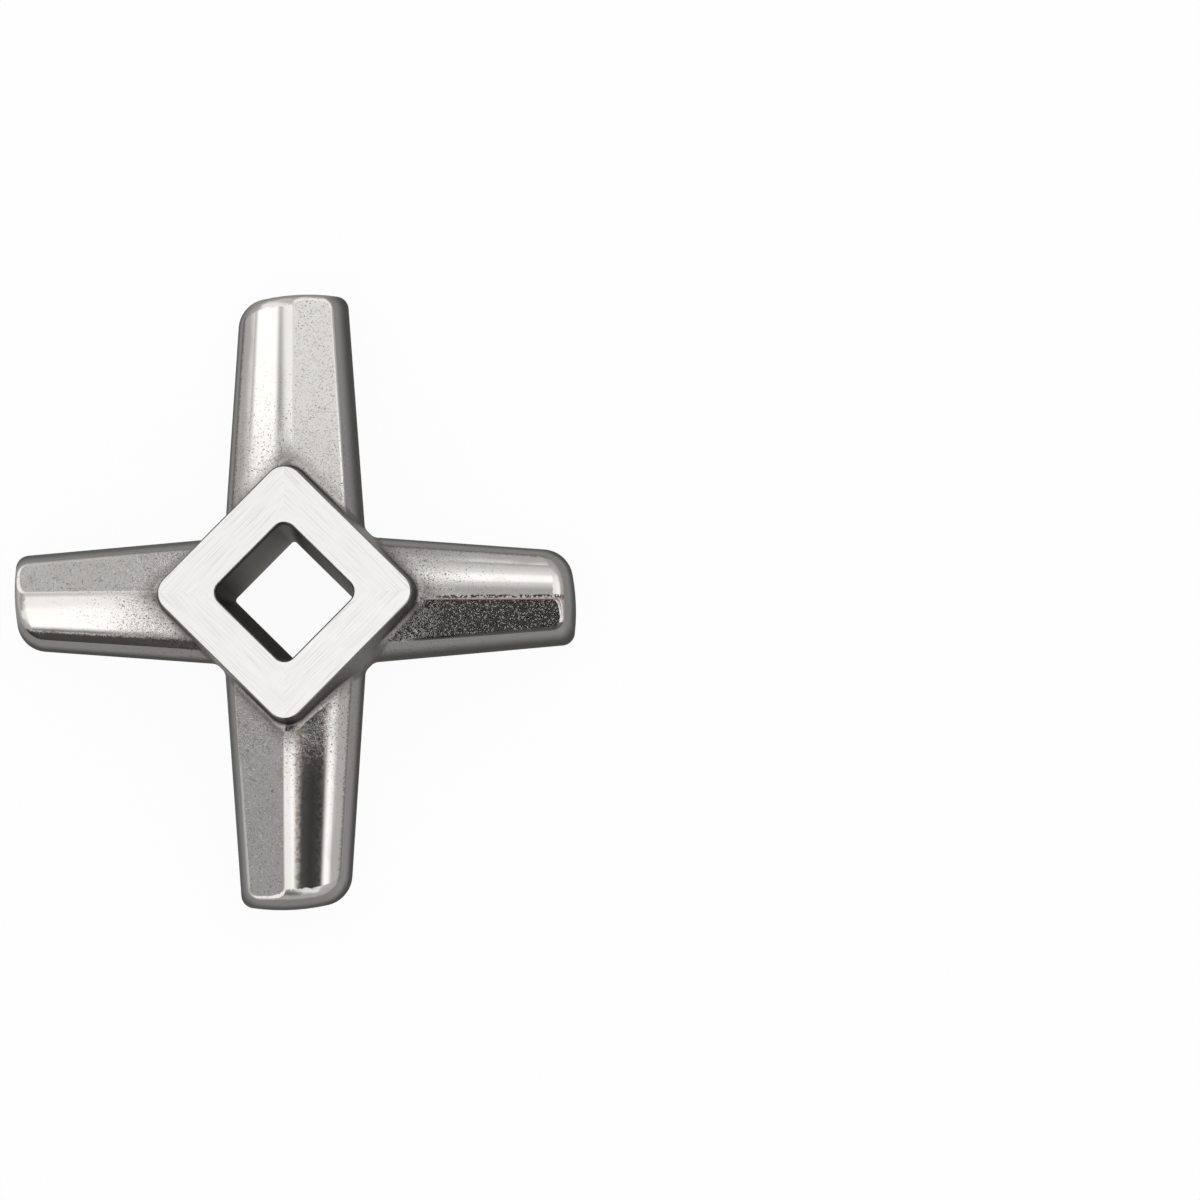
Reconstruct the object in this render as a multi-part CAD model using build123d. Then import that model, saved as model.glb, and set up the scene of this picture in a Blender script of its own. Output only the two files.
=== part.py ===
"""Four-armed meat grinder knife, cast in one piece of stainless steel.

The knife lies on its ground cutting face, at Z = 0, with the square boss up. A square
drive hole runs through the boss, and its corners point along the arms. The pair of arms
along Y is longer and broader than the pair along X. Seen from the boss, the knife turns
clockwise. All sizes are in millimetres.
"""

import os
from math import atan, cos, degrees, radians, sin, tan
from typing import NamedTuple

from build123d import *

# Boss: a square block with its corners over the arms.
HEIGHT = 12.0  # from the cutting face to the ground top of the boss
BOSS_FLATS = 18.0  # across flats at the top
BOSS_CORNER_RADIUS = 1.9  # at the top
BOSS_DRAFT_DEG = 3.5  # the walls flare towards the arms
BOSS_FOOT_RADIUS = 1.0  # cove between the boss and the arms
GROUND_EDGE_BREAK = 0.12  # round the boss's top and the mouth of the hole

# Square drive hole, cored with draft, so that it narrows towards the cutting face.
HOLE_FLATS_TOP = 9.9
HOLE_FLATS_BOTTOM = 8.1
HOLE_CORNER_RADIUS = 0.3  # at the cutting face; it grows with the draft

# Relief round the hole on the cutting face, so that only the blades bear on the plate.
RELIEF_DIAMETER = 14.6
RELIEF_DEPTH = 0.7

# Plan of the arms on the cutting face. The widths are those of the straight flanks.
LONG_SPAN = 60.0
LONG_WIDTH_AT_AXIS = 14.6
LONG_WIDTH_AT_TIP = 10.45
SHORT_SPAN = 54.6
SHORT_WIDTH_AT_AXIS = 13.45
SHORT_WIDTH_AT_TIP = 9.05
TIP_CROWN_RADIUS = 20.0
TIP_CROWN_OFFSET = 1.2  # the furthest point of a tip lies this far to the leading side
LEADING_CORNER_RADIUS = 1.3
TRAILING_CORNER_RADIUS = 3.0
FLANK_DRAFT_DEG = 12.5
TIP_DRAFT_DEG = 10.0

# Back of an arm: a flat facet on the leading side meets a round on the trailing side.
CREST_HEIGHT_AT_AXIS = 8.4
CREST_HEIGHT_AT_TIP = 6.8
CREST_OFFSET = 0.5  # from the arm's middle, to the leading side
FACET_SLOPE_DEG = 21.0
FACET_EDGE_RADIUS = 0.5  # all round the facet, along the crest too
ROUND_SLOPE_AT_CREST_DEG = 3.0
ROUND_SLOPE_AT_FLANK_DEG = 62.0
ROUND_EDGE_RADIUS = 1.2

OVERRUN = 2.0  # how far a trimming solid runs past the solid that it trims
BLANK_ALLOWANCE = 0.5  # how far the drafted blank of an arm stands above the crest
SAME_POINT = 0.001
UPWARD = 0.5  # a face whose normal rises more than this belongs to the back of an arm
LEVEL = 0.99  # and one whose normal rises more than this is level


class Arm(NamedTuple):
    """Plan sizes of an arm that points along +X, with its leading side at -Y."""

    reach: float
    width_at_axis: float
    width_at_tip: float

    def half_width(self, x):
        """Half of the width on the cutting face, at x from the knife's axis."""
        narrowing = (self.width_at_axis - self.width_at_tip) / self.reach
        return (self.width_at_axis - narrowing * x) / 2

    def crest_height(self, x):
        """Height of the crest, at x from the knife's axis."""
        fall = (CREST_HEIGHT_AT_AXIS - CREST_HEIGHT_AT_TIP) / self.reach
        return CREST_HEIGHT_AT_AXIS - fall * x

    def trim_side(self):
        """How far to each side a trimming solid has to reach."""
        return self.half_width(0) + OVERRUN

    def trim_end(self):
        """How far along the arm a trimming solid has to reach."""
        return self.reach + OVERRUN


LONG_ARM = Arm(LONG_SPAN / 2, LONG_WIDTH_AT_AXIS, LONG_WIDTH_AT_TIP)
SHORT_ARM = Arm(SHORT_SPAN / 2, SHORT_WIDTH_AT_AXIS, SHORT_WIDTH_AT_TIP)


def tip_vertices(plan, arm):
    """The vertices at the tip of an outline, from the leading side to the trailing side."""
    return plan.vertices().filter_by(lambda vertex: vertex.X > arm.reach / 2).sort_by(Axis.Y)


def arm_plan(arm, height):
    """Outline of the drafted blank at a height: straight flanks and a crowned tip."""
    flank_lean = height * tan(radians(FLANK_DRAFT_DEG))
    tip_lean = height * tan(radians(TIP_DRAFT_DEG))
    root, end = arm.half_width(0) - flank_lean, arm.half_width(arm.trim_end()) - flank_lean
    sides = Polyline((0, -root), (arm.trim_end(), -end), (arm.trim_end(), end), (0, root), close=True)
    crown = Pos(arm.reach - TIP_CROWN_RADIUS, -TIP_CROWN_OFFSET) * Circle(TIP_CROWN_RADIUS - tip_lean)
    plan = make_face(sides) & crown
    plan = fillet(tip_vertices(plan, arm).first, LEADING_CORNER_RADIUS)
    plan = fillet(tip_vertices(plan, arm).last, TRAILING_CORNER_RADIUS)
    return Pos(0, 0, height) * plan


def arm_blank(arm):
    """The drafted arm before its back is shaped, a little taller than the crest."""
    height = max(CREST_HEIGHT_AT_AXIS, CREST_HEIGHT_AT_TIP) + BLANK_ALLOWANCE
    return loft([arm_plan(arm, 0), arm_plan(arm, height)], ruled=True)


def below_facet(arm):
    """Everything below the plane of the facet, which holds the crest."""
    side = arm.trim_side()
    crest = arm.crest_height(0)
    drop = side * tan(radians(FACET_SLOPE_DEG))
    section = Polyline(
        (0, -side, -OVERRUN),
        (0, -side, crest - drop),
        (0, side, crest + drop),
        (0, side, -OVERRUN),
        close=True,
    )
    along_crest = Vector(arm.trim_end(), 0, arm.crest_height(arm.trim_end()) - crest)
    return Pos(0, -CREST_OFFSET, 0) * extrude(make_face(section), along_crest.length, dir=along_crest)


def below_round(arm):
    """Everything below the round, whose surface levels out on the leading side of the crest."""
    at_crest, at_flank = radians(ROUND_SLOPE_AT_CREST_DEG), radians(ROUND_SLOPE_AT_FLANK_DEG)
    flank_lean = tan(radians(FLANK_DRAFT_DEG))

    def section(x):
        crest = arm.crest_height(x)
        sideways, down = sin(at_flank) - sin(at_crest), cos(at_crest) - cos(at_flank)
        width = arm.half_width(x) + CREST_OFFSET - crest * flank_lean
        radius = width / (sideways - down * flank_lean)

        def on_arc(slope):
            drop = radius * (cos(at_crest) - cos(slope))
            return Vector(x, radius * (sin(slope) - sin(at_crest)), crest - drop)

        level, middle, lowest = on_arc(0), on_arc(at_flank / 2), on_arc(at_flank)
        foot = Vector(x, lowest.Y + (lowest.Z + OVERRUN) / tan(at_flank), -OVERRUN)
        low_leading = Vector(x, -arm.trim_side(), -OVERRUN)
        high_leading = Vector(x, -arm.trim_side(), level.Z)
        back = [Line(high_leading, level), ThreePointArc(level, middle, lowest), Line(lowest, foot)]
        return Wire(back + [Line(foot, low_leading), Line(low_leading, high_leading)])

    return Pos(0, -CREST_OFFSET, 0) * Solid.make_loft([section(0), section(arm.trim_end())], ruled=True)


def outer_edges(faces):
    """The edges round a group of faces of an arm, without the one at its root."""
    edges = faces.edges()
    outer = []
    for edge in edges:
        same = [other for other in edges if (other @ 0.5 - edge @ 0.5).length < SAME_POINT]
        if len(same) == 1 and (edge @ 0.5).X > OVERRUN:
            outer.append(edge)
    return outer


def arm_solid(arm):
    """One arm: the blank, rounded on its back, then cut flat on the leading side."""
    solid = arm_blank(arm) & below_round(arm)
    backs = solid.faces().filter_by(lambda face: face.normal_at().Z > UPWARD)
    solid = fillet(outer_edges(backs), ROUND_EDGE_RADIUS)
    solid &= below_facet(arm)
    planes = solid.faces().filter_by(GeomType.PLANE)
    facet = planes.filter_by(lambda face: UPWARD < face.normal_at().Z < LEVEL)
    return fillet(outer_edges(facet), FACET_EDGE_RADIUS)


def boss():
    """The square block, flaring downwards by its draft."""
    flare = HEIGHT * tan(radians(BOSS_DRAFT_DEG))
    foot_flats = BOSS_FLATS + 2 * flare
    foot = Rot(0, 0, 45) * RectangleRounded(foot_flats, foot_flats, BOSS_CORNER_RADIUS + flare)
    return extrude(foot, HEIGHT, taper=BOSS_DRAFT_DEG)


def drive_hole():
    """The drafted square core of the hole, narrowest at the cutting face."""
    draft = atan((HOLE_FLATS_TOP - HOLE_FLATS_BOTTOM) / 2 / HEIGHT)
    outline = Rot(0, 0, 45) * RectangleRounded(HOLE_FLATS_BOTTOM, HOLE_FLATS_BOTTOM, HOLE_CORNER_RADIUS)
    return extrude(outline, HEIGHT, taper=-degrees(draft))


def coved_arm(block, arm, turn):
    """The boss with one arm, and the cove where they meet."""
    turned = Rot(0, 0, turn) * arm_solid(arm)
    joined = block + turned
    foot = new_edges(block, turned, combined=joined).filter_by(lambda edge: (edge @ 0.5).Z > SAME_POINT)
    return fillet(foot, BOSS_FOOT_RADIUS)


def knife():
    """The whole casting, with its foot coves, ground top, drive hole and relief."""
    block = boss()
    placed = [(0, SHORT_ARM), (90, LONG_ARM), (180, SHORT_ARM), (270, LONG_ARM)]
    body = block + [coved_arm(block, arm, turn) for turn, arm in placed]
    body -= drive_hole()
    body = chamfer(body.faces().sort_by(Axis.Z).last.edges(), GROUND_EDGE_BREAK)
    return body - Cylinder(RELIEF_DIAMETER / 2, 2 * RELIEF_DEPTH)


os.makedirs("parts", exist_ok=True)
export_step(knife(), "parts/grinder_knife.step")
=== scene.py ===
import math
from types import SimpleNamespace

import bpy
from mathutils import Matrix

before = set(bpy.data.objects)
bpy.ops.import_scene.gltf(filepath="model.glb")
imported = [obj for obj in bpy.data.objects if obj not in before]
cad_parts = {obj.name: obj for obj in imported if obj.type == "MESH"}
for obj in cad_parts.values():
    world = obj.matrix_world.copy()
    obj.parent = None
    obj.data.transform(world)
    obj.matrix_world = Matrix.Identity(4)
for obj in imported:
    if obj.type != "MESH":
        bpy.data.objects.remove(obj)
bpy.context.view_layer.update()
scene = bpy.context.scene

# ------------------------------------------------------------------ camera
CAMERA_PLACE = (0.030, -0.024, 0.345)           # metres
CAMERA_TURN = (0.0688, 0.00171, -0.00935)       # radians
CAMERA_LENS = 106.7                             # mm, as the next one
CAMERA_SENSOR = 36.0
CAMERA_CLIP_START = 0.01                        # metres


def add_camera():
    data = bpy.data.cameras.new("camera")
    data.lens = CAMERA_LENS
    data.sensor_width = CAMERA_SENSOR
    data.clip_start = CAMERA_CLIP_START
    camera = bpy.data.objects.new("camera", data)
    camera.location = CAMERA_PLACE
    camera.rotation_euler = CAMERA_TURN
    scene.collection.objects.link(camera)
    scene.camera = camera


# ------------------------------------------------------------------ nodes
# Sockets of Blender's Mix node for each kind of value: first, second, output.
MIX_SOCKETS = {"FLOAT": (2, 3, 0), "VECTOR": (4, 5, 1), "RGBA": (6, 7, 2)}


class Nodes:
    """A new material, with short names for the shader nodes that it is made of."""

    def __init__(self, name):
        self.material = bpy.data.materials.new(name)
        self.material.use_nodes = True
        self.tree = self.material.node_tree
        self.shader = self.tree.nodes["Principled BSDF"]
        self.output = self.tree.nodes["Material Output"]

    def put(self, kind, *values, **settings):
        node = self.tree.nodes.new("ShaderNode" + kind)
        for name, value in settings.items():
            setattr(node, name, value)
        for slot, value in enumerate(values):
            self.feed(node.inputs[slot], value)
        return node

    def feed(self, socket, value):
        if isinstance(value, bpy.types.NodeSocket):
            self.tree.links.new(value, socket)
        else:
            socket.default_value = value

    def math(self, operation, *values):
        return self.put("Math", *values, operation=operation).outputs[0]

    def times(self, first, *others):
        for other in others:
            first = self.math("MULTIPLY", first, other)
        return first

    def minus(self, first, second):
        return self.math("SUBTRACT", first, second)

    def size(self, value):
        return self.math("ABSOLUTE", value)

    def ramp(self, value, ends):
        """0 where value is at the first end, 1 at the second, and smooth between them."""
        node = self.put("MapRange", value, *ends, interpolation_type="SMOOTHSTEP")
        return node.outputs[0]

    def mix(self, kind, share, first, second):
        """first where share is 0, second where it is 1."""
        node = self.put("Mix", share, data_type=kind)
        first_socket, second_socket, output = MIX_SOCKETS[kind]
        self.feed(node.inputs[first_socket], first)
        self.feed(node.inputs[second_socket], second)
        return node.outputs[output]

    def pick(self, share, values):
        return self.mix("FLOAT", share, *values)

    def tint(self, share, first, second):
        return self.mix("RGBA", share, first, second)

    def join(self, x, y, z):
        return self.put("CombineXYZ", x, y, z).outputs[0]

    def unit(self, vector):
        return self.put("VectorMath", vector, operation="NORMALIZE").outputs[0]

    def noise(self, place, texture):
        """A texture is its scale, detail and distortion."""
        node = self.put("TexNoise")
        self.feed(node.inputs["Vector"], place)
        for name, value in zip(("Scale", "Detail", "Distortion"), texture):
            node.inputs[name].default_value = value
        return node.outputs["Fac"]


# ------------------------------------------------------------------ studio
# A light tent stands round the knife. Softboxes and dark cards hang in it at the four
# sides. Each card is a run of levels, from overhead (0 degrees) to the floor (90).
TENT_RADIUS = 1.0               # metres
TENT_COLUMNS = 144
TENT_ROWS = 72
TENT_CLOTH = 1.25               # level between the cards
OVERHEAD = 1.25                 # level of the ceiling
OVERHEAD_EDGE = (7, 16)         # degrees from overhead, where the ceiling gives way to the cards
CARD_HALF_WIDTH = (24, 34)      # degrees of turn, where a card gives way to the cloth
SPLIT_SOFTNESS = 0.05
SPLIT_SIDES = 0.06              # where the side cards change from front half to back half
SPLIT_ENDS = -0.11              # where the end cards change from left half to right half
CARDS = {
    "left_back": [(0, 0.75), (12, 0.85), (22, 0.65), (33, 0.42), (43, 1.5), (80, 1.5),
                  (88, 0.7), (92, 0.4)],
    "left_front": [(0, 1.2), (28, 0.6), (44, 0.4), (60, 0.35), (92, 0.3)],
    "right_back": [(0, 0.9), (46, 1.0), (58, 1.45), (85, 1.45), (92, 0.9)],
    "right_front": [(0, 1.5), (15, 1.5), (22, 0.6), (31, 0.08), (48, 0.05), (66, 0.1),
                    (77, 1.45), (86, 1.45), (92, 0.7)],
    "back_right": [(0, 0.55), (28, 0.5), (42, 0.9), (48, 1.45), (58, 1.45), (66, 1.0),
                   (78, 0.8), (92, 0.45)],
    "back_left": [(0, 1.2), (30, 0.8), (44, 0.55), (60, 0.55), (92, 0.5)],
    "front_left": [(0, 1.5), (76, 1.5), (88, 0.3)],
    "front_right": [(0, 1.2), (18, 0.35), (28, 0.02), (66, 0.02), (84, 0.2), (92, 0.3)],
}

FLOOR_HALF = 4.0                # metres
FLOOR_GAP = 0.0001              # metres, from the floor up to the cutting face
FLOOR_PAPER = (0.93, 0.93, 0.93, 1)
FLOOR_GREY = (0.55, 0.545, 0.54, 1)     # the paper as it lights the steel by diffuse rays
FLOOR_WHITE_SEEN = 0.94         # how much of the paper shows as plain white
FLOOR_ROUGHNESS = 0.9
FLOOR_RAYS = ("Is Glossy Ray", "Is Transmission Ray")   # these see it as the camera does


def smooth(value):
    value = min(max(value, 0.0), 1.0)
    return value * value * (3 - 2 * value)


def between(value, ends):
    """0 below the first of two values, 1 above the second, and smooth between them."""
    return smooth((value - ends[0]) / (ends[1] - ends[0]))


def level(stops, angle):
    """What a card shines at an angle from overhead."""
    for (low, first), (high, second) in zip(stops, stops[1:]):
        if angle <= high:
            return first + (second - first) * smooth((angle - low) / (high - low))
    return stops[-1][1]


def card_radiance(out, sideways, z, names, split):
    """Level and share of a wall's cards: out points to the wall, names are its two halves."""
    angle = math.degrees(math.atan2(abs(out), z))
    high = between(sideways, (split - SPLIT_SOFTNESS, split + SPLIT_SOFTNESS))
    shade = (1 - high) * level(CARDS[names[0]], angle) + high * level(CARDS[names[1]], angle)
    turn = math.degrees(math.atan2(abs(sideways), abs(out)))
    return shade, 1 - between(turn, CARD_HALF_WIDTH)


def tent_radiance(x, y, z):
    """Radiance of the tent in the unit direction (x, y, z)."""
    side = "right" if x > 0 else "left"
    end = "back" if y > 0 else "front"
    side_halves, end_halves = (side + "_front", side + "_back"), (end + "_left", end + "_right")
    side_shade, side_share = card_radiance(x, y, z, side_halves, SPLIT_SIDES)
    end_shade, end_share = card_radiance(y, x, z, end_halves, SPLIT_ENDS)
    cloth_share = 1 - side_share - end_share
    walls = side_share * side_shade + end_share * end_shade + cloth_share * TENT_CLOTH
    tilt = math.degrees(math.acos(min(z, 1.0)))
    low = between(tilt, OVERHEAD_EDGE)
    return (1 - low) * OVERHEAD + low * walls


def tent_point(row, column):
    """Unit direction to a corner of the tent's grid."""
    tilt = math.radians(90) * row / TENT_ROWS
    turn = math.tau * column / TENT_COLUMNS
    return math.sin(tilt) * math.cos(turn), math.sin(tilt) * math.sin(turn), math.cos(tilt)


def add_tent():
    """The hemisphere of cloth and cards, which the camera doesn't see."""
    rows, columns = range(TENT_ROWS), range(TENT_COLUMNS)
    points = [tent_point(row, column) for row in range(TENT_ROWS + 1) for column in columns]
    faces = []
    for row in rows:
        for column in columns:
            after = (column + 1) % TENT_COLUMNS
            low, high = row * TENT_COLUMNS, (row + 1) * TENT_COLUMNS
            faces.append((low + column, low + after, high + after, high + column))
    mesh = bpy.data.meshes.new("tent")
    mesh.from_pydata([[c * TENT_RADIUS for c in point] for point in points], [], faces)
    radiance = mesh.attributes.new("radiance", "FLOAT", "POINT")
    radiance.data.foreach_set("value", [tent_radiance(*point) for point in points])
    n = Nodes("tent_cloth")
    n.tree.nodes.remove(n.shader)
    n.material.cycles.emission_sampling = "NONE"
    glow = n.put("Emission")
    n.feed(glow.inputs["Strength"], n.put("Attribute", attribute_name="radiance").outputs["Fac"])
    n.feed(n.output.inputs["Surface"], glow.outputs["Emission"])
    mesh.materials.append(n.material)
    tent = bpy.data.objects.new("tent", mesh)
    tent.visible_camera = False
    tent.visible_shadow = False
    scene.collection.objects.link(tent)


def add_floor():
    half = FLOOR_HALF
    corners = [(-half, -half, 0), (half, -half, 0), (half, half, 0), (-half, half, 0)]
    mesh = bpy.data.meshes.new("floor")
    mesh.from_pydata(corners, [], [(0, 1, 2, 3)])
    floor = bpy.data.objects.new("floor", mesh)
    floor.location.z = -FLOOR_GAP
    scene.collection.objects.link(floor)
    n = Nodes("floor_paper")
    path = n.put("LightPath").outputs
    seen = path["Is Camera Ray"]
    for ray in FLOOR_RAYS:
        seen = n.math("MAXIMUM", seen, path[ray])
    n.feed(n.shader.inputs["Base Color"], n.tint(seen, FLOOR_GREY, FLOOR_PAPER))
    n.shader.inputs["Roughness"].default_value = FLOOR_ROUGHNESS
    n.shader.inputs["Specular IOR Level"].default_value = 0.0
    white = n.put("Emission").outputs[0]
    share = n.times(seen, FLOOR_WHITE_SEEN)
    surface = n.put("MixShader", share, n.shader.outputs[0], white).outputs[0]
    n.feed(n.output.inputs["Surface"], surface)
    mesh.materials.append(n.material)


def add_world():
    world = bpy.data.worlds.new("world")
    world.use_nodes = True
    world.node_tree.nodes["Background"].inputs["Color"].default_value = (1, 1, 1, 1)
    scene.world = world


# ------------------------------------------------------------------ steel
PER_MM = 1000.0                 # the node's own coordinates are in metres

# The round on an arm's back is a cone. Its centre line and radius change evenly along the
# arm. Each pair is the value at the knife's axis and its change per mm, long arms first.
CREST_OFFSET = 0.5              # mm, from an arm's middle to the leading side
CONE_SIDE = ((-0.9357, 0.00421), (-0.8935, 0.00496))
CONE_HEIGHT = ((0.0871, 0.02695), (0.8921, 0.03602))
CONE_RADIUS = ((8.3244, -0.08039), (7.5182, -0.09476))

POLISHED = (0.70, 0.685, 0.665, 1)
POLISHED_WARM = (0.685, 0.665, 0.64, 1)
SKIN_AND_DARK_REFLECTION = (0.40, 0.393, 0.385, 1)          # the drafted walls, which the polishing wheel missed, darkened as painted dark reflection of the floor
SKIN_PAINTED_SHADE = (0.13, 0.127, 0.123, 1)      # painted shade on the walls, down by the cutting face
BORE_PAINTED_LIT = (0.30, 0.285, 0.267, 1)          # the drive hole, as cast, where painted light falls on its walls
# painted shade in the drive hole
BORE_PAINTED_SHADE = (0.045, 0.042, 0.039, 1)
GROUND = (0.87, 0.862, 0.85, 1)         # the two ground faces
GROUND_DARK = (0.64, 0.625, 0.61, 1)
PIT = (0.055, 0.05, 0.046, 1)
COPPER = (0.34, 0.2, 0.15, 1)           # heat colour along one crest, and in the painted dark reflection bands on the lower arm
GRIME_AND_PAINTED_SHADE = (0.16, 0.15, 0.14, 1)           # grime near the boss; painted shade in the cove round the boss, on the boss's sides, at the walls' foot and along the boss's top edge; painted dark reflection on steep faces and above trailing walls
SPECULAR_TINT = (0.35, 0.35, 0.35, 1)

# Ends of ramps, as Nodes.ramp takes them. Heights and distances are in mm.
LEAN_OF_FACET = (0.24, 0.32)            # a facet's normal leans more than this
LEAN_PAST_FACET = (0.50, 0.40)          # and less than this
UPRIGHT = (0.42, 0.26)                  # how far a wall's normal may rise
LEVEL_FACE = (0.992, 0.997)             # how far a ground face's normal rises
STEEP = (0.76, 0.64)                    # rise of a normal that, seen from above, mirrors the floor
INSIDE_BORE = (5.05, 4.97)              # half of the hole's flats
BELOW_BORE_EDGE = (11.95, 11.85)
BOSS_TOP_HEIGHT = (11.5, 11.8)
BROKEN_EDGE_HEIGHT = (11.7, 11.86)
CUTTING_FACE_HEIGHT = (1.0, 0.8)
INSIDE_FOOT = (11.0, 9.2)               # half of the boss's flats, with the cove round it
BELOW_FOOT = (11.6, 11.2)
INSIDE_BOSS = (10.0, 9.8)
BELOW_BOSS_TOP = (11.0, 10.0)
NEAR_BOSS = (19.0, 11.5)                # from the knife's axis
NEAR_BOSS_SHARE = (0.55, 1.0)           # long arms, short arms
ON_CONE = (0.07, 0.03)                  # distance off the cone
LIKE_CONE = (0.983, 0.993)              # cosine between the mesh's normal and the cone's

# Noise textures: scale per mm, detail, distortion. They vary round their middle.
NOISE_MIDDLE = 0.5
CURLS = (2.1, 2.0, 1.8)
FINE = (5.0, 3.0, 0.4)
SWELL = (0.5, 1.0, 0.0)
CROWD = (0.35, 1.0, 0.0)
SPECKS = (5.6, 1.0, 0.4)
GRAIN = (8.0, 1.0, 0.0)
MOTTLE = (2.6, 3.0, 0.0)
BURR_TEETH = (4.4, 3.0, 0.0)
GRINDING = (1.0, 3.0, 0.0)              # in coordinates that the next two stretch
BOSS_LINES = (20.0, 0.2)                # lines per mm across the grinding, and along it
FACE_LINES = (7.0, 0.12)
SWELL_ENDS = (0.35, 0.65)
CROWD_ENDS = (0.35, 0.7)
SPECK_ENDS = (0.63, 0.68)
GRAIN_ENDS = (0.42, 0.68)
BOSS_LINE_ENDS = (0.3, 0.52)
FACE_LINE_ENDS = (0.35, 0.65)

# Casting relief. Ridges and grooves follow levels of the curls, and stand as high as the
# ramps say. A pair of shares is for plain steel and for steel near the boss.
RIDGE_LEVEL, RIDGE_ENDS, RIDGE_HEIGHT = 0.5, (0.09, 0.0), 0.5
GROOVE_LEVEL, GROOVE_ENDS = 0.6, (0.03, 0.0)
FINE_HEIGHT = 0.16
RELIEF_ON_ROUND = (0.0, 0.6)
RELIEF_ON_FACET = (0.12, 0.28)
RELIEF_BURRED_ARM = 0.65                # what the burred arm keeps of it
PITS_ON_ROUND, PITS_NEAR_BOSS = 0.6, 0.8
PITS_TO_TIP = (26.0, 14.0)              # from the knife's axis, where the round's pits thin out
PITS_ON_FACET = (0.25, 0.6)             # in the open and in a crowd
GROOVES_ON_ROUND, GROOVES_ON_FACET = 0.25, 0.55
BORE_RELIEF = 0.5
GROUND_RELIEF = 0.12
BUMP_DISTANCE = 0.000025                # metres

# Ragged painted dark reflection, a line above each trailing wall, placed by slope. It is heavy
# on the left arm. A pair that isn't the ends of a ramp is for the other arms and for the left one.
EDGE_RAGGED = 9.0                       # degrees of slope
EDGE_START = (56.0, 46.0)               # degrees of slope
EDGE_FADE = (0.0, 4.0)                  # degrees of slope
EDGE_LEAN = (-0.965, -0.94)
EDGE_LEAN_END = (-0.6, -0.7)
EDGE_SHARE = (0.85, 0.98)

# Copper-coloured painted dark reflection: two bands on the round of the lower arm, placed by
# slope.
BAND_SLOPE, BAND_APART = 24.0, 9.0      # degrees: middle of the patches, and half their distance
BAND_WIDTH = (5.0, 0.5)                 # degrees
BAND_MOTTLE = (0.42, 0.6)
BAND_START = (-10.0, -13.0)
BAND_SHARE = 0.6

# Burrs along the crest of the right arm, over a thin heat-coloured line. The outer rim of
# its facet is darkened as painted dark reflection.
BURRED_START = (12.5, 15.0)
BURR_OFFSET = 0.24                      # from the crest to the trailing side
BURR_WIDTH = (0.26, 0.06)
BURR_ENDS = (0.44, 0.52)
HEAT_WIDTH = (0.2, 0.08)
RIM_LEAN = (0.42, 0.5)
RIM_LEAN_END = (0.95, 0.88)
RIM_START = (10.0, 13.0)

# Painted shade: the walls' skin darkens downwards. It does so from higher up on the trailing side.
TRAILING_LEAN = (0.6, -0.6)
SKIN_DARK_BELOW = (1.2, 0.6)            # leading side, trailing side
SKIN_PALE_ABOVE = (4.8, 2.6)
SKIN_FOOT = (0.6, 0.25)

# Painted light in the drive hole, on two of its walls: towards v and towards u. The rest is
# painted shade.
BORE_WALL = (2.6, 4.4)
BORE_LIGHT_U = (-6.0, 0.0)
BORE_LIGHT_X = (-1.0, 6.0)
BORE_LIGHT_HEIGHT = (11.9, 10.4)

# How much of a coat shows. Several coats are painted shade, painted light and painted dark
# reflection.
STEEP_PAINTED_REFLECTION = 0.5
FOOT_PAINTED_SHADE = 0.7
GRAIN_GRIME = 0.5
HEAT_COPPER = 0.7
RIM_PAINTED_REFLECTION = 0.85
BOSS_SIDE_PAINTED_SHADE = 0.7

# Roughness. A pair follows a texture.
ROUGH_ROUND = (0.08, 0.13)
ROUGH_NEAR_BOSS = 0.2
ROUGH_FACET = (0.13, 0.2)
ROUGH_RIM = 0.32
ROUGH_RIM_START = (15.0, 17.0)          # from the knife's axis
ROUGH_WALL = 0.34
ROUGH_BOSS_TOP = (0.26, 0.4)
ROUGH_CUTTING_FACE = (0.24, 0.4)
ROUGH_BORE = 0.6


def arm_place(n):
    """Where a point is, in mm, both on the knife and on its arm."""
    spot = n.put("TexCoord")
    scaled = n.put("VectorMath", spot.outputs["Object"], operation="SCALE")
    scaled.inputs["Scale"].default_value = PER_MM
    m = SimpleNamespace(place=scaled.outputs[0], normal=spot.outputs["Normal"])
    m.x, m.y, m.z = n.put("SeparateXYZ", m.place).outputs
    normal_x, normal_y, m.rise = n.put("SeparateXYZ", m.normal).outputs
    # An arm along X is short, an arm along Y is long. sign tells the two arms of a pair apart.
    m.short = n.math("GREATER_THAN", n.size(m.x), n.size(m.y))
    m.along = n.math("MAXIMUM", n.size(m.x), n.size(m.y))
    m.sign = n.pick(m.short, (n.math("SIGN", m.y), n.math("SIGN", m.x)))
    # From the arm's middle to the trailing side, and how the normal leans to the leading one.
    m.aside = n.times(n.pick(m.short, (n.times(m.x, -1.0), m.y)), m.sign)
    m.lean = n.times(n.pick(m.short, (normal_x, n.times(normal_y, -1.0))), m.sign)
    # u and v run square to the boss's sides.
    m.u = n.times(n.math("ADD", m.x, m.y), math.sqrt(0.5))
    m.v = n.times(n.minus(m.y, m.x), math.sqrt(0.5))
    m.across = n.math("MAXIMUM", n.size(m.u), n.size(m.v))
    m.out = n.math("SQRT", n.math("ADD", n.times(m.x, m.x), n.times(m.y, m.y)))
    return m


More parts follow.
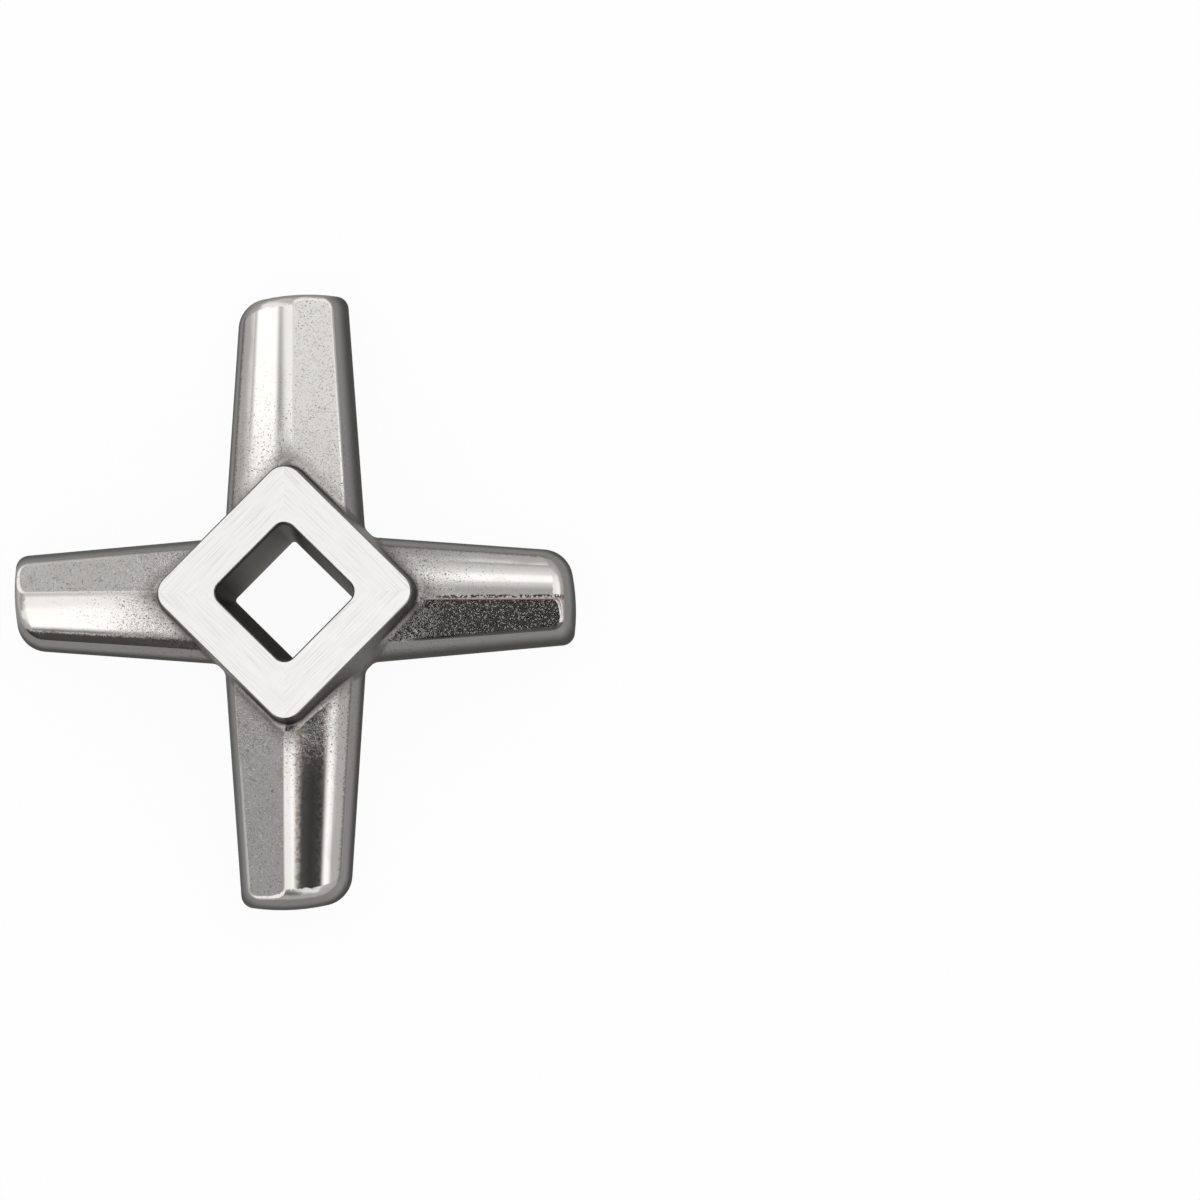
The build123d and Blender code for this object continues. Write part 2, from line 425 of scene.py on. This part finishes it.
def round_normal(n, m):
    """Exact normal of the cone that the round on an arm's back follows, where it holds.

    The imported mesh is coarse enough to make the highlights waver, and this steadies them.
    Adds the share of it, and the slope in degrees, to the masks too.
    """
    def value(pairs):
        starts = [n.math("MULTIPLY_ADD", m.along, change, start) for start, change in pairs]
        return n.pick(m.short, starts), n.pick(m.short, [change for start, change in pairs])

    side, side_change = value(CONE_SIDE)
    height, height_change = value(CONE_HEIGHT)
    radius, radius_change = value(CONE_RADIUS)
    across, up = n.minus(m.aside, side), n.minus(m.z, height)
    distance = n.math("SQRT", n.math("MULTIPLY_ADD", across, across, n.times(up, up)))
    sine, cosine = n.math("DIVIDE", across, distance), n.math("DIVIDE", up, distance)
    ahead = n.math("MULTIPLY_ADD", height_change, cosine, radius_change)
    ahead = n.math("MULTIPLY_ADD", side_change, sine, ahead)
    ahead = n.times(ahead, -1.0, m.sign)
    aside = n.times(sine, m.sign)
    exact_x = n.pick(m.short, (n.times(aside, -1.0), ahead))
    exact_y = n.pick(m.short, (ahead, aside))
    exact = n.unit(n.join(exact_x, exact_y, cosine))
    like = n.put("VectorMath", exact, m.normal, operation="DOT_PRODUCT").outputs["Value"]
    off = n.size(n.minus(distance, radius))
    m.round = n.times(n.ramp(off, ON_CONE), n.ramp(like, LIKE_CONE), n.ramp(m.z, BELOW_BOSS_TOP))
    m.slope = n.math("DEGREES", n.math("ARCTAN2", across, up))
    m.bent = n.unit(n.mix("VECTOR", m.round, m.normal, exact))


def steel_masks(n):
    """Where the steel is what: shares from 0 to 1, from the node's own place and normal."""
    m = arm_place(n)
    m.facet = n.times(n.ramp(m.lean, LEAN_OF_FACET), n.ramp(m.lean, LEAN_PAST_FACET))
    m.wall = n.ramp(n.size(m.rise), UPRIGHT)
    m.bore = n.times(n.ramp(m.across, INSIDE_BORE), n.ramp(m.z, BELOW_BORE_EDGE))
    ground = n.ramp(n.size(m.rise), LEVEL_FACE)
    m.boss_top = n.times(ground, n.ramp(m.z, BOSS_TOP_HEIGHT))
    m.broken = n.times(n.ramp(m.z, BROKEN_EDGE_HEIGHT), n.minus(1.0, ground))
    m.cut_face = n.times(ground, n.ramp(m.z, CUTTING_FACE_HEIGHT))
    m.foot = n.times(n.ramp(m.across, INSIDE_FOOT), n.ramp(m.z, BELOW_FOOT))
    m.near = n.times(n.ramp(m.out, NEAR_BOSS), n.pick(m.short, NEAR_BOSS_SHARE))
    m.left_arm = n.times(m.short, n.math("LESS_THAN", m.x, 0.0))
    m.burred = n.times(m.short, n.ramp(m.x, BURRED_START))
    round_normal(n, m)
    return m


def add_casting(n, m):
    """Casting relief: short curled ridges on the facets, fainter on the rounds, with pits."""
    curls = n.noise(m.place, CURLS)
    ridge = n.ramp(n.size(n.minus(curls, RIDGE_LEVEL)), RIDGE_ENDS)
    groove = n.ramp(n.size(n.minus(curls, GROOVE_LEVEL)), GROOVE_ENDS)
    m.fine = n.noise(m.place, FINE)
    share = n.pick(m.facet, (n.pick(m.near, RELIEF_ON_ROUND), n.pick(m.near, RELIEF_ON_FACET)))
    share = n.times(share, n.pick(m.burred, (1.0, RELIEF_BURRED_ARM)))
    relief = n.math("ADD", n.times(ridge, RIDGE_HEIGHT), n.times(m.fine, FINE_HEIGHT))
    m.relief = n.times(relief, share)

    crowd = n.math("MAXIMUM", m.near, n.ramp(n.noise(m.place, CROWD), CROWD_ENDS))
    round_pits = n.times(n.ramp(m.out, PITS_TO_TIP), PITS_ON_ROUND)
    round_pits = n.pick(m.near, (round_pits, PITS_NEAR_BOSS))
    pit_share = n.pick(m.facet, (round_pits, n.pick(crowd, PITS_ON_FACET)))
    m.pits = n.times(n.ramp(n.noise(m.place, SPECKS), SPECK_ENDS), pit_share)
    groove_share = n.pick(m.facet, (n.times(m.near, GROOVES_ON_ROUND), GROOVES_ON_FACET))
    m.grooves = n.times(groove, groove_share)


def add_grinding(n, m):
    """Lines that run along each side of the boss and meet at its corners, and face lines."""
    tall = n.math("GREATER_THAN", n.size(m.u), n.size(m.v))
    over, along = n.pick(tall, (m.v, m.u)), n.pick(tall, (m.u, m.v))
    stretched = n.join(n.times(over, BOSS_LINES[0]), n.times(along, BOSS_LINES[1]), tall)
    m.lines = n.noise(stretched, GRINDING)
    stretched = n.join(n.times(m.x, FACE_LINES[0]), n.times(m.y, FACE_LINES[1]), 0.0)
    m.face_lines = n.noise(stretched, GRINDING)


def dark_reflection_line(n, m):
    """Painted dark reflection: a ragged line above each trailing wall, placed by slope."""
    ragged = n.math("MULTIPLY_ADD", n.minus(m.fine, NOISE_MIDDLE), EDGE_RAGGED, m.slope)
    line = n.ramp(n.minus(ragged, n.pick(m.left_arm, EDGE_START)), EDGE_FADE)
    line = n.times(line, n.ramp(m.lean, EDGE_LEAN), n.ramp(m.lean, EDGE_LEAN_END))
    return n.times(line, n.ramp(m.z, BELOW_BOSS_TOP), n.pick(m.left_arm, EDGE_SHARE))


def copper_reflection_bands(n, m):
    """Two copper-coloured bands of painted dark reflection on the round of the lower arm, placed
    by slope at both sides of its middle.
    """
    streak = n.minus(n.size(n.minus(m.slope, BAND_SLOPE)), BAND_APART)
    bands = n.ramp(n.size(streak), BAND_WIDTH)
    bands = n.times(bands, n.ramp(n.noise(m.place, MOTTLE), BAND_MOTTLE))
    bands = n.times(bands, n.ramp(m.y, BAND_START), n.minus(1.0, m.short))
    return n.times(bands, m.round, BAND_SHARE)


def burrs_heat_and_painted_rim(n, m):
    """Burrs with the outer rim of the right arm's facet darkened as painted dark reflection, and
    the line of heat colour.
    """
    from_crest = n.math("ADD", m.aside, CREST_OFFSET)
    burrs = n.ramp(n.size(n.minus(from_crest, BURR_OFFSET)), BURR_WIDTH)
    burrs = n.times(burrs, m.burred, n.ramp(n.noise(m.place, BURR_TEETH), BURR_ENDS))
    heat = n.times(n.ramp(n.size(from_crest), HEAT_WIDTH), m.burred)
    rim = n.times(n.ramp(m.lean, RIM_LEAN), n.ramp(m.lean, RIM_LEAN_END))
    rim = n.times(rim, m.short, n.ramp(m.x, RIM_START))
    return n.math("MAXIMUM", burrs, n.times(rim, RIM_PAINTED_REFLECTION)), n.times(heat, HEAT_COPPER)


def wall_skin_with_shade(n, m):
    # Painted shade: darker downwards, and dark at the walls' foot.
    trailing = n.ramp(m.lean, TRAILING_LEAN)
    ends = n.pick(trailing, SKIN_DARK_BELOW), n.pick(trailing, SKIN_PALE_ABOVE)
    skin = n.tint(n.ramp(m.z, ends), SKIN_PAINTED_SHADE, SKIN_AND_DARK_REFLECTION)
    return n.tint(n.ramp(m.z, SKIN_FOOT), skin, GRIME_AND_PAINTED_SHADE)


def bore_painted_light(n, m):
    # Painted light on two walls of the drive hole, painted shade on the rest.
    light = n.math(
        "MAXIMUM",
        n.times(n.ramp(m.v, BORE_WALL), n.ramp(m.u, BORE_LIGHT_U)),
        n.times(n.ramp(m.u, BORE_WALL), n.ramp(m.x, BORE_LIGHT_X)),
    )
    return n.tint(n.times(light, n.ramp(m.z, BORE_LIGHT_HEIGHT)), BORE_PAINTED_SHADE, BORE_PAINTED_LIT)


def steel_colour(n, m):
    """The polished steel under its coats, each a share and a colour. Several coats are painted
    shade, painted light and painted dark reflection.
    """
    burrs, heat = burrs_heat_and_painted_rim(n, m)
    grain = n.ramp(n.noise(m.place, GRAIN), GRAIN_ENDS)
    boss_side = n.times(m.wall, n.ramp(m.across, INSIDE_BOSS))
    coats = [
        # painted dark reflection of the floor on steep faces
        (n.times(n.ramp(m.rise, STEEP), STEEP_PAINTED_REFLECTION), GRIME_AND_PAINTED_SHADE),
        # painted shade in the cove round the boss
        (n.times(m.foot, FOOT_PAINTED_SHADE), GRIME_AND_PAINTED_SHADE),
        # painted dark reflection line above the trailing walls
        (dark_reflection_line(n, m), n.tint(m.left_arm, GRIME_AND_PAINTED_SHADE, PIT)),
        # copper bands of painted dark reflection, placed by slope
        (copper_reflection_bands(n, m), COPPER),
        (n.times(grain, m.near, GRAIN_GRIME), GRIME_AND_PAINTED_SHADE),
        (heat, COPPER),
        # burrs, and painted dark reflection on the right arm's facet rim
        (burrs, PIT),
        (m.grooves, PIT),
        # the walls' skin, with painted shade downwards
        (m.wall, wall_skin_with_shade(n, m)),
        # painted shade on the boss's sides
        (n.times(boss_side, BOSS_SIDE_PAINTED_SHADE), GRIME_AND_PAINTED_SHADE),
        (m.pits, PIT),
        (m.boss_top, n.tint(n.ramp(m.lines, BOSS_LINE_ENDS), GROUND_DARK, GROUND)),
        (m.cut_face, n.tint(n.ramp(m.face_lines, FACE_LINE_ENDS), GROUND_DARK, GROUND)),
        # painted shade along the boss's top edge
        (m.broken, GRIME_AND_PAINTED_SHADE),
        # painted light and shade in the drive hole
        (m.bore, bore_painted_light(n, m)),
    ]
    colour = n.tint(n.ramp(n.noise(m.place, SWELL), SWELL_ENDS), POLISHED, POLISHED_WARM)
    for share, coat in coats:
        colour = n.tint(share, colour, coat)
    return colour


def steel_roughness(n, m):
    rim = n.minus(1.0, n.math("MAXIMUM", m.round, m.facet))
    coats = [
        (m.facet, n.pick(m.fine, ROUGH_FACET)),
        (n.times(rim, n.ramp(m.out, ROUGH_RIM_START)), ROUGH_RIM),
        (m.wall, ROUGH_WALL),
        (m.boss_top, n.pick(m.lines, ROUGH_BOSS_TOP)),
        (m.cut_face, n.pick(m.face_lines, ROUGH_CUTTING_FACE)),
        (m.bore, ROUGH_BORE),
    ]
    rough = n.pick(m.near, (n.pick(m.fine, ROUGH_ROUND), ROUGH_NEAR_BOSS))
    for share, coat in coats:
        rough = n.pick(share, (rough, coat))
    return rough


def steel_bump(n, m):
    """The relief on top of the mesh's normals, or of the exact ones on the rounds."""
    ground = n.math("MAXIMUM", m.boss_top, m.cut_face)
    sunk = n.times(m.pits, n.math("MAXIMUM", m.near, m.facet))
    ground_relief = n.times(n.pick(m.cut_face, (m.lines, m.face_lines)), GROUND_RELIEF)
    height = n.pick(ground, (n.minus(m.relief, sunk), ground_relief))
    height = n.pick(m.bore, (height, n.times(m.fine, BORE_RELIEF)))
    bump = n.put("Bump")
    bump.inputs["Strength"].default_value = 1.0
    bump.inputs["Distance"].default_value = BUMP_DISTANCE
    n.feed(bump.inputs["Height"], height)
    n.feed(bump.inputs["Normal"], m.bent)
    return bump.outputs[0]


def add_steel():
    n = Nodes("cast_steel")
    m = steel_masks(n)
    add_casting(n, m)
    add_grinding(n, m)
    n.feed(n.shader.inputs["Base Color"], steel_colour(n, m))
    n.feed(n.shader.inputs["Roughness"], steel_roughness(n, m))
    n.feed(n.shader.inputs["Normal"], steel_bump(n, m))
    n.shader.inputs["Metallic"].default_value = 1.0
    n.shader.inputs["Specular Tint"].default_value = SPECULAR_TINT
    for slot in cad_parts["grinder_knife"].material_slots:
        slot.material = n.material


add_camera()
add_tent()
add_floor()
add_world()
add_steel()
scene.view_settings.view_transform = "Standard"
